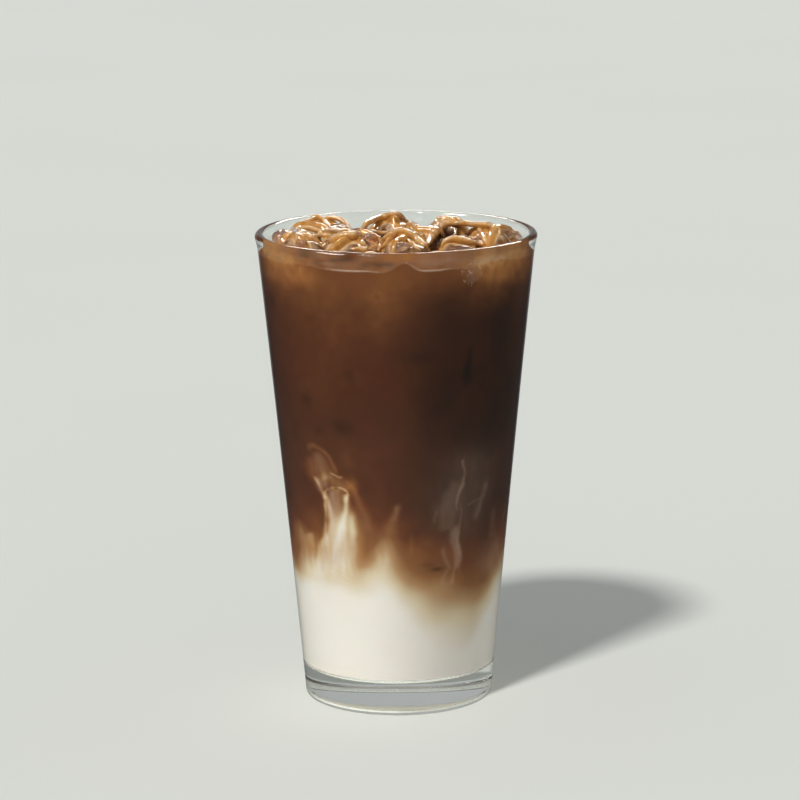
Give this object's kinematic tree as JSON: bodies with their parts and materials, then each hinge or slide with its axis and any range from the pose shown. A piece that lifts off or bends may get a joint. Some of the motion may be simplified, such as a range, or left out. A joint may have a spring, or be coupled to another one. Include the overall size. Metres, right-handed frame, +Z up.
{
  "type": "iced caramel macchiato",
  "caption": "Pint glass of iced coffee: white milk below, a tan band where it blends, dark coffee above, and ice lumps with thick caramel drizzle rising out of the top.",
  "frame": {"origin": "middle of the glass's foot, on the surface it stands on", "axes": "+Z up along the glass's axis; the side shown in front faces -Y"},
  "size_m": [0.0888, 0.0888, 0.1532],
  "materials": {
    "clear_glass": "clear, fire-polished",
    "milk": "opaque white liquid",
    "latte": "opaque tan liquid",
    "coffee": "dark brown liquid, nearly opaque",
    "caramel_ice": "wet ice under glossy golden-brown caramel"
  },
  "bodies": {
    "root": {"glass": "clear_glass", "milk": "milk", "latte": "latte", "coffee": "coffee", "ice_back_left": "caramel_ice", "ice_back": "caramel_ice", "ice_back_right": "caramel_ice", "ice_left": "caramel_ice", "ice_middle": "caramel_ice", "ice_right": "caramel_ice", "ice_front_left": "caramel_ice", "ice_front": "caramel_ice", "ice_front_right": "caramel_ice", "ice_centre": "caramel_ice", "ice_low_left": "caramel_ice", "ice_low_right": "caramel_ice", "ice_low_far_left": "caramel_ice", "ice_low_far_right": "caramel_ice"}
  },
  "joints": []
}
